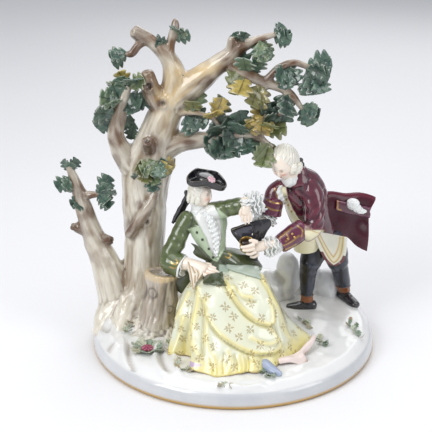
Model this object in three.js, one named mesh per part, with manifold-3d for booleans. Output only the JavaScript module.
import * as THREE from 'three';
import { mergeVertices } from 'three/addons/utils/BufferGeometryUtils.js';
import Module from 'manifold-3d';

const wasm = await Module();
wasm.setup();

// A porcelain group: a lady seated by a stump and a gentleman bowing to her under an oak, on one
// round mound. Millimetres, +X right, +Y away from the viewer, +Z up, origin under the base's middle.

// Driving dimensions
const groupHeight = 300;
const base = { halfWidth: 131.5, halfDepth: 131.2, rim: 15, crown: 20 };
const leafLength = 20;
const leafThickness = 3;

const v = (x, y, z) => new THREE.Vector3(x, y, z);
const radians = THREE.MathUtils.degToRad;
const turnOnce = 2 * Math.PI;

// Solids

function solidFrom(geometry) {
  const bare = geometry.index ? geometry.clone() : mergeVertices(geometry);
  bare.deleteAttribute('normal');
  bare.deleteAttribute('uv');
  const merged = mergeVertices(bare, 1e-4);
  const vertProperties = new Float32Array(merged.attributes.position.array);
  const triVerts = new Uint32Array(merged.index.array);
  return new wasm.Manifold(new wasm.Mesh({ numProp: 3, vertProperties, triVerts }));
}

// A closed body through rings of equal count, its ends closed to the two given tips
function loft(rings, startTip, endTip) {
  const count = rings[0].length;
  const points = [...rings.flat(), startTip, endTip];
  const first = points.length - 2;
  const last = points.length - 1;
  const lastRing = (rings.length - 1) * count;
  const faces = [];
  for (let i = 0; i < rings.length - 1; i += 1) {
    for (let j = 0; j < count; j += 1) {
      const a = i * count + j;
      const b = i * count + (j + 1) % count;
      faces.push(a, b, b + count, a, b + count, a + count);
    }
  }
  for (let j = 0; j < count; j += 1) {
    const next = (j + 1) % count;
    faces.push(first, next, j, last, lastRing + j, lastRing + next);
  }
  return solidFrom(facedOutwards(points, faces));
}

function facedOutwards(points, faces) {
  let volume = 0;
  for (let i = 0; i < faces.length; i += 3) {
    const [a, b, c] = faces.slice(i, i + 3).map((k) => points[k]);
    volume += a.dot(b.clone().cross(c));
  }
  const index = volume < 0 ? [...faces].reverse() : faces;
  const geometry = new THREE.BufferGeometry().setFromPoints(points);
  geometry.setIndex(index);
  return geometry;
}

function middle(ring) {
  return ring.reduce((sum, p) => sum.add(p), v(0, 0, 0)).divideScalar(ring.length);
}

// A limb, sleeve or branch along stations [x, y, z, radius, second radius]. The first radius lies
// along `across`, where it is given, and the frame is carried along the curve where it isn't.
function limb(stations, options = {}) {
  const { sides = 6, across = null, round = 0.5, ripple = null } = options;
  const centres = stations.map(([x, y, z]) => v(x, y, z));
  const curve = new THREE.CatmullRomCurve3(centres, false, 'centripetal');
  const spans = stations.length - 1;
  const side = across ? v(...across) : v(0.31, 0.93, 0.17);
  const rings = [];
  const ends = [];
  for (let i = 0; i <= spans; i += 1) {
    const t = i / spans;
    const at = curve.getPoint(t);
    const along = curve.getTangent(t);
    if (across) side.set(...across);
    side.addScaledVector(along, -side.dot(along)).normalize();
    const other = along.clone().cross(side);
    const [, , , a, b = a] = stations[i];
    const ring = [];
    for (let j = 0; j < sides; j += 1) {
      const angle = (j / sides) * turnOnce;
      const swell = ripple ? 1 + ripple(angle, t) : 1;
      const p = at.clone().addScaledVector(side, Math.cos(angle) * a * swell);
      ring.push(p.addScaledVector(other, Math.sin(angle) * b * swell));
    }
    rings.push(ring);
    if (i === 0) ends.push(at.clone().addScaledVector(along, -round * Math.min(a, b)));
    if (i === spans) ends.push(at.clone().addScaledVector(along, round * Math.min(a, b)));
  }
  return loft(rings, ends[0], ends[1]);
}

// A rotation given in degrees about X, Y and Z
function turned(turn) {
  const [rx, ry, rz] = turn.map(radians);
  return new THREE.Matrix4().makeRotationFromEuler(new THREE.Euler(rx, ry, rz, 'XYZ'));
}

// An egg of three half-sizes, turned in degrees about X, Y and Z
function egg(at, size, turn = [0, 0, 0], around = 10, down = 8) {
  const geometry = new THREE.SphereGeometry(1, around, down);
  geometry.rotateX(Math.PI / 2);
  geometry.scale(...size);
  geometry.applyMatrix4(turned(turn));
  geometry.translate(...at);
  return solidFrom(geometry);
}

function join(solids) {
  let pile = solids;
  while (pile.length > 1) {
    const next = [];
    for (let i = 0; i < pile.length; i += 2) next.push(pile[i + 1] ? pile[i].add(pile[i + 1]) : pile[i]);
    pile = next;
  }
  return pile[0];
}

// Base

// Swells of the ground: x, y, height, spread
const swells = [
  [-92, 2, 13, 36],
  [-121, -14, 6, 20],
  [70, 46, 5, 30],
  [-6, -8, 4, 44],
  [-60, -84, 1.5, 22],
];

function groundHeight(x, y) {
  let z = base.crown;
  for (const [sx, sy, height, spread] of swells) {
    z += height * Math.exp(-((x - sx) ** 2 + (y - sy) ** 2) / spread ** 2);
  }
  return z;
}

function baseSolid() {
  const around = 30;
  const edge = [[0.985, 0], [1, 2], [0.997, base.rim]];
  const inner = [0.965, 0.86, 0.6, 0.3];
  const ringAt = (share, height) => {
    const ring = [];
    for (let j = 0; j < around; j += 1) {
      const angle = (j / around) * turnOnce;
      const x = base.halfWidth * share * Math.cos(angle);
      const y = base.halfDepth * share * Math.sin(angle);
      ring.push(v(x, y, height(x, y)));
    }
    return ring;
  };
  const rings = edge.map(([share, z]) => ringAt(share, () => z));
  inner.forEach((share, i) => {
    const fall = i === 0 ? 1.6 : 0;
    rings.push(ringAt(share, (x, y) => groundHeight(x, y) - fall));
  });
  return loft(rings, v(0, 0, 0), v(0, 0, groundHeight(0, 0)));
}

// Oak

const bark = (angle, t) => 0.035 * Math.sin(3 * angle + 5 * t) + 0.02 * Math.sin(5 * angle - 9 * t);

const trunk = [
  [-90, 5, 17, 33], [-88, 6, 31, 28], [-84, 9, 52, 21.5], [-82.5, 13, 84, 18.5], [-81.5, 15, 115, 19.5],
  [-81, 16, 140, 21], [-78, 17, 163, 21.5], [-72, 17, 184, 18], [-64, 18, 207, 16], [-57, 18, 228, 14.5],
];
const sideTrunk = [
  [-106, 1, 20, 20], [-109, 4, 43, 16.5], [-116, 6, 68, 14.5], [-123.5, 7, 88, 11.8], [-131, 8, 108, 9.3],
  [-135.5, 8, 127, 8.2], [-139.5, 8, 142, 6.8], [-144, 8, 157, 4.6], [-148, 8, 169, 3],
];
const branches = {
  leftFork: [
    [-88, 15, 162, 14], [-99, 14, 176, 10], [-105.5, 12.5, 195, 8.2], [-101, 12, 217, 6.8],
    [-92, 12, 243, 3],
  ],
  knottyStub: [[-63, 16, 216, 9], [-70, 13, 230, 9], [-74, 11, 243, 7.6], [-75, 10, 253, 5.5]],
  brokenStub: [[-74, 10, 184, 7], [-75, 0, 191, 6], [-76, -6, 196, 4.6]],
  upperLeft: [
    [-55, 18, 224, 14], [-52, 18, 246, 11], [-55, 19, 260, 8.5], [-64, 20, 272, 6.8], [-75, 21, 281, 5.8],
    [-87, 21.5, 287.5, 6.2],
  ],
  topTwig: [
    [-58, 19, 263, 6], [-55, 20, 279, 4.2], [-51.5, 21, 291, 3.8], [-51, 22, groupHeight - 1, 2.2],
  ],
  leftTwig: [[-77, 21, 281, 4.5], [-84, 20, 275, 3.8], [-90, 19, 268, 3.4], [-95, 18, 268, 2]],
  upperRight: [
    [-58, 18, 222, 13], [-42, 17, 237, 13], [-29, 16, 248, 11.4], [-17, 15, 257.5, 9.4], [-6, 14, 266, 8.4],
    [3, 13, 274, 6.4], [12, 12, 279, 4.6], [37, 12, 288, 2.2],
  ],
  crookKnot: [[-4, 13, 268, 5], [-2.5, 12, 277, 4.6], [-2, 12, 283, 4]],
  middleRight: [
    [-10, 15, 264, 7.5], [3, 12, 257, 6.6], [17, 9, 249.5, 5.4], [31, 7, 244.5, 4.6], [47, 4, 238, 3.8],
    [60, 1, 223, 2.4],
  ],
  arch: [[27, 7, 247, 4], [38, 7, 258, 3.8], [50, 6, 263.5, 3.4], [63, 5, 260, 3], [72, 4, 252, 2.2]],
  lowerRight: [
    [-64, 15, 184, 12], [-49, 14, 189, 9.4], [-34, 12, 191.5, 8], [-19, 9, 194, 6.4], [-3, 7, 198, 5],
    [20, 5, 197, 3.6], [34, 4, 187, 2.2],
  ],
  hangingTwig: [[24, 8, 247, 3.4], [27, 2, 219, 2.6], [24, 5, 196, 2.6]],
  fallingTwig: [[45, 4, 238, 3], [46, 1, 226, 2.6], [38, -1, 218, 2.2]],
  lobeTwig: [[-52, 16, 216, 5], [-38, 9, 218, 2.8], [-20, 7, 214, 2.4], [-8, 6, 198, 2.4]],
  sideStubLeft: [[-134, 8, 107, 6], [-142, 7, 109, 4.6], [-147, 6, 111, 3]],
  sideStubRight: [[-124, 7, 95, 7.5], [-116, 5, 98, 5.6], [-112, 4, 98, 3.6]],
  sideTwig: [[-138, 8, 139, 5], [-129, 5, 142, 3.6], [-121, 3, 143, 2.4]],
};
const roots = [
  [[-100, 2, 34, 18], [-114, -8, 24, 15], [-123, -18, 15, 8.5]],
  [[-94, -4, 34, 17], [-102, -22, 24, 11], [-104, -36, 18, 7]],
  [[-80, -4, 34, 16], [-86, -22, 25, 9], [-88, -38, 19, 5]],
  [[-88, 14, 34, 20], [-96, 36, 24, 12], [-98, 52, 18, 7]],
  [[-76, 14, 34, 18], [-60, 34, 23, 10], [-50, 46, 18, 6]],
];
const stump = [[-68.5, -23, 12, 19], [-68, -22, 34, 16.5], [-66, -20, 56, 15], [-64, -18, 76, 15]];
const stumpRoots = [
  [[-72, -28, 26, 9], [-84, -36, 22.5, 5.5], [-96, -41, 20, 3.4], [-104, -46, 18, 2]],
  [[-62, -30, 26, 8], [-58, -42, 21, 6], [-57, -52, 18, 3.6]],
  [[-72, -34, 24, 7], [-75, -44, 20, 5], [-77, -54, 17, 3]],
];
const scar = [[-70, -3, 146, 3], [-80, -5, 130, 4.4], [-89, -5, 116, 4], [-95, -1, 107, 4.4]];

function oakSolids() {
  const solids = [
    limb(trunk, { sides: 9, ripple: bark }),
    limb(sideTrunk, { sides: 7, ripple: bark }),
    limb(scar, { sides: 5 }),
  ];
  for (const stations of Object.values(branches)) {
    const thick = stations[0][3] > 8;
    solids.push(limb(stations, { sides: thick ? 6 : 4, ripple: thick ? bark : null }));
  }
  for (const stations of roots) solids.push(limb(stations, { sides: 5 }));
  for (const stations of stumpRoots) solids.push(limb(stations, { sides: 5 }));
  solids.push(limb(stump, { sides: 9, round: 0, ripple: bark }));
  return solids;
}

// Sprays of leaves: x, y, z of the node, first and last heading in the picture plane (0 right,
// 90 up, in degrees), count and size. Each spray's node lies on a branch, so every leaf is held.
const sprays = [
  [-104, 11, 214, 160, 235, 2, 1.15],
  [-98, 10, 226, 125, 195, 2, 1.15],
  [-92, 10, 240, 60, 160, 2, 1.15],
  [-92, 9, 234, -40, -40, 1, 1.1],
  [-94, 18, 269, 190, 190, 1, 0.8],
  [-56, 19, 276, 170, 170, 1, 0.85],
  [6, 11, 277, 80, 80, 1, 0.8],
  [34, 11, 287, -15, 30, 2, 0.75],
  [22, 10, 282, 270, 305, 2, 1],
  [12, 9, 253, 90, 90, 1, 1.1],
  [8, 10, 254, 225, 270, 2, 1.3],
  [24, 6, 246, 265, 265, 1, 1.3],
  [46, 6, 261, 235, 300, 2, 1.1],
  [62, 4, 259, -60, 20, 2, 1.2],
  [69, 3, 254, -110, -80, 2, 1.2],
  [47, 3, 237, 245, 245, 1, 1.3],
  [58, 1, 225, -70, -5, 2, 1],
  [39, -1, 218, 190, 190, 1, 1],
  [27, 3, 220, 220, 300, 2, 1.15],
  [25, 4, 202, 10, 175, 2, 1.1],
  [30, 4, 192, 215, 285, 2, 1.15],
  [8, 5, 198, 80, 280, 3, 1.25],
  [-8, 6, 197, 110, 265, 3, 1.3],
  [-18, 7, 213, 45, 95, 2, 1.15],
  [-36, 9, 218, 75, 75, 1, 1.15],
  [-42, 11, 217, 318, 318, 1, 1.1],
  [-66, -2, 178, 200, 330, 3, 0.95],
  [-147, 8, 165, 40, 120, 2, 0.7],
  [-145, 7, 158, 205, 290, 2, 0.9],
  [-123, 4, 143, -50, 60, 2, 0.95],
];

// Half outline of a lobed oak leaf from stalk to tip: share of the length, share of the length aside
const leafOutline = [[0, 0], [0.26, 0.28], [0.42, 0.16], [0.66, 0.33], [1, 0]];

// A leaf is a lens: its bent outline, closed by a ridge above and below the middle
function leaf(at, heading, lean, roll, length) {
  const left = leafOutline.slice(1, -1).reverse().map(([along, aside]) => [along, -aside]);
  const outline = [...leafOutline, ...left];
  const bend = (along, aside) => 0.22 * Math.sin(along * 2.6) - 0.3 * Math.abs(aside);
  const place = ([along, aside]) => v(along, aside, bend(along, aside)).multiplyScalar(length);
  const turn = new THREE.Matrix4().makeRotationY(-radians(heading));
  turn.multiply(new THREE.Matrix4().makeRotationZ(radians(lean)));
  turn.multiply(new THREE.Matrix4().makeRotationX(radians(roll)));
  turn.setPosition(...at);
  const points = outline.map(place);
  const heart = place([0.45, 0]);
  for (const side of [-1, 1]) points.push(heart.clone().setZ(heart.z + side * leafThickness / 2));
  points.forEach((p) => p.applyMatrix4(turn));
  const count = outline.length;
  const faces = [];
  for (let j = 0; j < count; j += 1) {
    const next = (j + 1) % count;
    faces.push(count, next, j, count + 1, j, next);
  }
  return solidFrom(facedOutwards(points, faces));
}

function leafSolids() {
  const solids = [];
  let number = 0;
  for (const [x, y, z, first, last, count, size] of sprays) {
    for (let i = 0; i < count; i += 1) {
      const share = count > 1 ? i / (count - 1) : 0.5;
      const heading = first + (last - first) * share;
      const lean = [-18, -46, 12, -30, 34][number % 5];
      const roll = [70, 108, 84, 62, 118, 96, 76][number % 7];
      solids.push(leaf([x, y, z], heading, lean, roll, leafLength * size));
      number += 1;
    }
  }
  return solids;
}

// Rock behind the gentleman and the seat under the lady
const rocks = [
  [[53, 42, 34], [11, 11, 32], [0, 6, 0]],
  [[38, 40, 30], [13, 12, 21], [0, -12, 0]],
  [[72, 52, 28], [19, 12, 26], [0, 0, 0]],
  [[90, 50, 26], [15, 12, 24], [0, 12, 0]],
  [[-12, -6, 34], [30, 22, 32], [0, 0, 0]],
];

// The rose that lies before the stump, with its three leaves
const rose = { at: [-77, -61], size: 4.8, height: 3.4, leaf: 14 };

function groundSolids() {
  const solids = rocks.map(([at, size, turn]) => egg(at, size, turn, 8, 5));
  const [x, y] = rose.at;
  const z = groundHeight(x, y);
  for (const heading of [25, 150, 265]) solids.push(leaf([x, y, z + 0.4], 0, heading, 0, rose.leaf));
  solids.push(egg([x, y, z + 2], [rose.size, rose.size, rose.height], [0, 0, 0], 7, 4));
  return solids;
}

// Lady

// Guides of the skirt from waist to hem, going round from the viewer's right by the front
const skirtGuides = [
  [[-3, -13, 87], [20, -24, 84], [34, -30, 66], [46, -36, 42], [66, -42, 20]],
  [[-4, -17, 86], [24, -38, 83], [36, -52, 66], [44, -60, 42], [54, -72, 20]],
  [[-6, -20, 85], [16, -50, 82], [28, -66, 66], [34, -80, 42], [36, -94, 20]],
  [[-11, -22, 84], [2, -52, 79], [7, -72, 62], [8, -90, 41], [8, -106, 20]],
  [[-15, -21, 84], [-16, -56, 81], [-14, -73, 64], [-14, -92, 42], [-17, -109, 20]],
  [[-19, -19, 84], [-28, -47, 77], [-33, -63, 61], [-35, -82, 42], [-40, -99, 20]],
  [[-21, -16, 84], [-36, -34, 75], [-49, -49, 58], [-51, -64, 40], [-57, -80, 20]],
  [[-22, -13, 84], [-36, -20, 72], [-47, -28, 56], [-50, -38, 38], [-54, -50, 20]],
  [[-19, -8, 85], [-30, 0, 72], [-38, 4, 52], [-40, 5, 36], [-42, 6, 20]],
  [[-12, -6, 86], [-10, 8, 74], [-10, 14, 52], [-8, 17, 36], [-6, 20, 20]],
  [[-6, -8, 87], [10, 2, 77], [18, 6, 56], [24, 6, 38], [30, 8, 20]],
  [[-3, -10, 87], [18, -12, 81], [30, -14, 62], [40, -16, 40], [54, -18, 20]],
];

// Rings across hanging guides, from the top down, folded outwards by `fold`
function draped(guides, around, down, fold) {
  const smooth = (points, closed) => new THREE.CatmullRomCurve3(points, closed, 'centripetal');
  const curves = guides.map((points) => smooth(points.map((p) => v(...p)), false));
  const rings = [];
  for (let i = 0; i <= down; i += 1) {
    const drop = i / down;
    const knots = curves.map((curve) => curve.getPoint(drop));
    const heart = middle(knots);
    const loop = smooth(knots, true);
    const ring = [];
    for (let j = 0; j < around; j += 1) {
      const share = j / around;
      const p = loop.getPoint(share);
      const out = p.clone().sub(heart).setZ(0).normalize();
      ring.push(p.addScaledVector(out, fold(share, drop)));
    }
    rings.push(ring);
  }
  return rings;
}

function ladySkirt() {
  const fold = (share, drop) => {
    const pleats = Math.sin(share * turnOnce * 11) * 2.6 + Math.sin(share * turnOnce * 5 + 1) * 1.6;
    return pleats * drop * drop;
  };
  const rings = draped(skirtGuides, 32, 5, fold);
  const below = rings[rings.length - 1].map((p) => p.clone().setZ(12));
  rings.push(below);
  return loft(rings, middle(rings[0]), middle(below));
}

const lady = {
  torso: [
    [-14, -13, 82, 11, 9], [-17, -12, 91, 8.4, 7.6], [-19.5, -10.5, 100, 10, 8.6],
    [-22.5, -8, 112, 14, 10.4], [-26, -5, 123, 16.6, 10], [-30, -2.5, 130.5, 10.6, 7.4],
  ],
  neck: [[-31, -1, 128, 6.4], [-31.5, -1, 136, 5.4], [-31, -1, 142, 6]],
  rightSleeve: [
    [-41, -4, 124, 8.4], [-46.5, -7, 114, 8.4], [-51.5, -12, 103, 8.2], [-57, -17, 93, 8.4],
    [-58, -19, 86, 9],
  ],
  rightCuff: [[-60, -18, 88, 10], [-53, -21, 86, 11], [-46, -24, 84, 9.6]],
  rightForearm: [[-52, -22, 84, 6.4], [-42, -26, 84, 5.4], [-32, -31, 86, 4.4]],
  rightLace: [
    [-46, -24, 86, 7, 5], [-38, -29, 80, 8.5, 4.6], [-36, -33, 71, 5, 3.2], [-36, -35, 64, 2, 1.4],
  ],
  rightHand: [
    [-34, -30, 87, 5.4, 3.6], [-26, -34, 86, 6.4, 3.4], [-18, -37, 83.5, 6, 2.8], [-12, -39, 81, 4, 2],
  ],
  leftSleeve: [[-25, -6, 126, 9], [-16, -8, 132, 8], [-6, -11, 135, 7.4], [5, -13, 138.5, 7.6]],
  leftLace: [[3, -12, 138, 7.4], [10, -13, 141, 9.6], [18, -12, 141, 10], [26, -9, 137, 6]],
  leftHand: [
    [7, -14, 140, 4.6], [8.5, -18, 133, 4.8, 3.4], [9, -20, 126, 4.4, 2.6],
    [8.5, -20.5, 120, 2.6, 1.6],
  ],
  basque: [
    [-13, -14, 90, 9, 8], [-2, -14, 89, 12, 8], [10, -16, 86, 15, 7], [22, -20, 82, 13, 4.5],
    [27, -22, 80, 8, 2.5],
  ],
  frontBasque: [[-16, -20, 87, 7, 4], [-20, -30, 83.5, 11, 4], [-20, -41, 80, 12, 3]],
  backBasque: [[-18, -9, 94, 7, 6], [-27, -4, 90, 8, 6], [-36, 1, 87, 5, 4]],
  head: [[-29.5, -2, 146], [10, 10.5, 12], [0, 8, 0]],
  wig: [[-33.5, 0.5, 147], [10.5, 11.5, 12.5], [0, 8, 0]],
  nose: [[-20, -4, 144.5], [2.2, 1.7, 2], [0, 0, 0]],
  queue: [[-38, 4, 143, 4.2, 2], [-44, 7, 133, 4, 1.6], [-51, 8, 121, 3.4, 1.4], [-55, 8, 114, 2.2, 1.2]],
  shoe: [[28, -90, 22, 5], [34, -99, 21.5, 4.6, 3.6], [39, -106, 21, 3, 2.4]],
  petticoat: [
    [34, -86, 22, 5, 3], [46, -82, 22, 7, 3], [56, -78, 22, 6.5, 3], [66, -66, 23, 5, 3],
    [72, -55, 25, 3.4, 2.6],
  ],
};

// A three-cornered hat: a turned-up brim of three sides round a low crown
function tricorn(at, size, turn) {
  const around = 9;
  const corner = (angle) => 1 + 0.24 * Math.cos(3 * angle);
  const ring = (grow, z, lift) => {
    const points = [];
    for (let j = 0; j < around; j += 1) {
      const angle = (j / around) * turnOnce;
      const reach = size * grow * corner(angle);
      points.push(v(reach * Math.cos(angle), reach * Math.sin(angle), z - lift * Math.cos(3 * angle)));
    }
    return points;
  };
  const rings = [
    ring(0.62, -0.14 * size, 0), ring(1, 0, 0.1 * size), ring(1.05, 0.36 * size, 0.16 * size),
    ring(0.94, 0.38 * size, 0.16 * size), ring(0.66, 0.14 * size, 0), ring(0.5, 0.36 * size, 0),
  ];
  const pose = turned(turn).setPosition(...at);
  const tips = [v(0, 0, -0.16 * size), v(0, 0, 0.42 * size)];
  rings.forEach((points) => points.forEach((p) => p.applyMatrix4(pose)));
  tips.forEach((p) => p.applyMatrix4(pose));
  return loft(rings, ...tips);
}

function ladySolids() {
  const flat = { sides: 5, across: [1, 0, 0.3] };
  return [
    ladySkirt(),
    limb(lady.torso, { sides: 9, across: [1, 0.1, 0], round: 0.2 }),
    limb(lady.neck, { sides: 5 }),
    limb(lady.rightSleeve),
    limb(lady.rightCuff, { sides: 8, round: 0.2 }),
    limb(lady.rightForearm, { sides: 5 }),
    limb(lady.rightLace, flat),
    limb(lady.rightHand, { across: [0.3, 0.9, 0] }),
    limb(lady.leftSleeve),
    limb(lady.leftLace, { sides: 8, round: 0.2 }),
    limb(lady.leftHand, flat),
    limb(lady.basque, { sides: 8, across: [0.2, 1, 0] }),
    limb(lady.frontBasque, { sides: 5, across: [1, 0, 0] }),
    limb(lady.backBasque, { sides: 5, across: [0, 1, 0] }),
    egg(...lady.head, 8, 6),
    egg(...lady.wig, 8, 6),
    egg(...lady.nose, 5, 3),
    limb(lady.queue, flat),
    limb(lady.shoe, { sides: 5 }),
    limb(lady.petticoat, { sides: 5, across: [0, 0, 1] }),
    tricorn([-25.5, -4, 155.5], 15.6, [8, 12, 10]),
  ];
}

// Gentleman
const gentleman = {
  torso: [
    [84, 31, 82, 15, 12], [80, 28, 94, 15.5, 12.5], [74, 23, 108, 17, 13], [69, 19, 122, 19.5, 14],
    [65, 15, 138, 20.5, 14.5], [62, 12, 152, 16.5, 13.5], [58, 10, 162, 10, 10],
  ],
  head: [[45.5, 0, 169], [11, 12, 14], [12, 14, 0]],
  wig: [[48, 4, 173], [13, 13.6, 16.4], [10, 12, 0]],
  nose: [[38, -9.6, 167.5], [2.4, 2.6, 3], [0, 0, 0]],
  bow: [[60.5, 12, 174], [3, 3, 4.4], [0, 0, 0]],
  leftSleeve: [
    [66, 8, 152, 10], [71, 3, 141, 10.6], [73, -3, 127, 9.6], [71, -8, 116, 9], [64, -12, 112, 9],
  ],
  leftCuff: [[65, -12, 112, 10.6], [56, -16, 110, 12], [47, -19, 107.5, 12.4]],
  leftLace: [[49, -18, 107.5, 7], [41, -20, 106, 9.4], [34, -22, 105, 9], [31, -22, 104.5, 5]],
  leftHand: [
    [34, -21, 104.5, 5, 4], [25, -23, 103.5, 6.4, 4.6], [17, -25, 103.5, 5.4, 4],
    [12, -26, 104, 3, 2.4],
  ],
  box: [[11, -25, 101, 6.6], [11.5, -25.5, 105, 6.8], [12, -26, 108.5, 6.8]],
  rightSleeve: [[44, 8, 148, 9], [37, 7, 143, 8.4], [35, 4, 136, 8], [34.5, 2, 131, 8]],
  rightCuff: [[35.5, 3, 137, 8.4], [34.5, 1, 129, 9.4], [33, 0, 124, 9]],
  rightLace: [[33, 0, 126, 6.4], [28, -4, 122, 9, 6], [22, -7, 119.5, 7, 4]],
  rightHand: [[28, -3, 122, 4.4], [22, -7, 118, 4.4], [18, -8, 113, 3.2]],
  leftThigh: [[84, 26, 92, 13], [76, 22, 78, 12], [71, 18, 66, 9.6]],
  leftLeg: [
    [72, 18, 70, 9.8], [70.5, 19, 56, 7.8], [70.5, 20, 44, 7], [70.5, 20.5, 33, 5.4],
    [71, 21, 24, 5.6],
  ],
  leftShoe: [
    [75, 20.5, 22.5, 6, 5], [66, 20, 22, 6, 5], [57, 20.5, 21.5, 5.4, 4.4], [51, 21, 20.5, 3.6, 3],
  ],
  rightThigh: [[90, 32, 90, 13], [97, 34, 74, 12], [100.5, 35, 60, 9.8]],
  rightLeg: [
    [99.5, 35, 66, 9.6], [103, 37, 52, 8.2], [106, 40, 40, 7.4], [108, 42.5, 29, 5.4],
    [108.5, 43, 23, 5.4],
  ],
  rightShoe: [
    [107, 45, 22.5, 5.8, 5], [111, 37, 22.5, 5.8, 5], [116, 29, 21.5, 5.4, 4.4],
    [119, 23, 20.5, 3.6, 3],
  ],
  frontSkirt: [
    [74, 18, 97, 8, 4], [82, 16, 84, 15, 5], [90, 17, 72, 17, 5.5], [92, 19, 64, 11, 5],
  ],
  waistcoat: [[70, 16, 108, 13, 11], [68, 16, 94, 14, 11], [68, 18, 84, 13, 10]],
  handkerchief: [[106, 36, 126, 6, 4], [113, 38, 119, 8, 4], [120, 40, 114, 3, 2]],
};

// Outline of the flying coat tail in the picture plane, from the waist: x, z
const coatTail = [
  [76, 100], [80, 128], [84, 134], [105, 130], [125, 127], [132, 119], [127, 110], [128, 90], [128.5, 70],
  [117, 78], [105, 90], [88, 95],
];

function coatTailSolid() {
  const waist = coatTail[0][0];
  const depthAt = (x) => 27 + 0.36 * (x - waist);
  const halfThick = (x) => 9 - 0.09 * (x - waist);
  const near = coatTail.map(([x, z]) => v(x, depthAt(x) - halfThick(x), z));
  const far = coatTail.map(([x, z]) => v(x, depthAt(x) + halfThick(x), z));
  const [x, z] = [104, 108];
  return loft([near, far], v(x, depthAt(x) - halfThick(x), z), v(x, depthAt(x) + halfThick(x), z));
}

function gentlemanSolids() {
  return [
    limb(gentleman.torso, { sides: 10, across: [1, 0.2, 0], round: 0.2 }),
    egg(...gentleman.head, 8, 6),
    egg(...gentleman.wig, 8, 6),
    egg(...gentleman.nose, 5, 3),
    egg(...gentleman.bow, 5, 4),
    limb(gentleman.leftSleeve),
    limb(gentleman.leftCuff, { sides: 8, round: 0.1 }),
    limb(gentleman.leftLace, { sides: 8, round: 0.2 }),
    limb(gentleman.leftHand, { across: [0, 0, 1] }),
    limb(gentleman.box, { sides: 8, round: 0 }),
    limb(gentleman.rightSleeve),
    limb(gentleman.rightCuff, { sides: 8, round: 0.1 }),
    limb(gentleman.rightLace, { sides: 5 }),
    limb(gentleman.rightHand, { sides: 5 }),
    limb(gentleman.leftThigh, { sides: 7 }),
    limb(gentleman.leftLeg),
    limb(gentleman.leftShoe, { across: [0, 1, 0] }),
    limb(gentleman.rightThigh, { sides: 7 }),
    limb(gentleman.rightLeg),
    limb(gentleman.rightShoe, { across: [1, 0, 0] }),
    limb(gentleman.frontSkirt, { sides: 7, across: [1, 0.2, 0] }),
    limb(gentleman.waistcoat, { sides: 7, across: [1, 0.2, 0] }),
    limb(gentleman.handkerchief, { sides: 5 }),
    coatTailSolid(),
    tricorn([15.5, -12, 109.5], 17.6, [-76, 8, -45]),
  ];
}

const group = new THREE.Group();
const porcelain = new THREE.MeshStandardMaterial({ color: 0xf1f0ea, roughness: 0.15, metalness: 0 });

const joined = join([
  baseSolid(), ...groundSolids(), ...oakSolids(), ...leafSolids(), ...ladySolids(), ...gentlemanSolids(),
]);
// Pockets that the joined pieces seal between them are filled
const whole = joined.decompose().reduce((a, b) => (a.volume() > b.volume() ? a : b));
const { vertProperties, triVerts } = whole.getMesh();
const geometry = new THREE.BufferGeometry();
geometry.setAttribute('position', new THREE.BufferAttribute(vertProperties, 3));
geometry.setIndex(new THREE.BufferAttribute(triVerts, 1));
geometry.computeVertexNormals();
const mesh = new THREE.Mesh(geometry, porcelain);
mesh.name = 'porcelain_group';
group.add(mesh);

export default group;
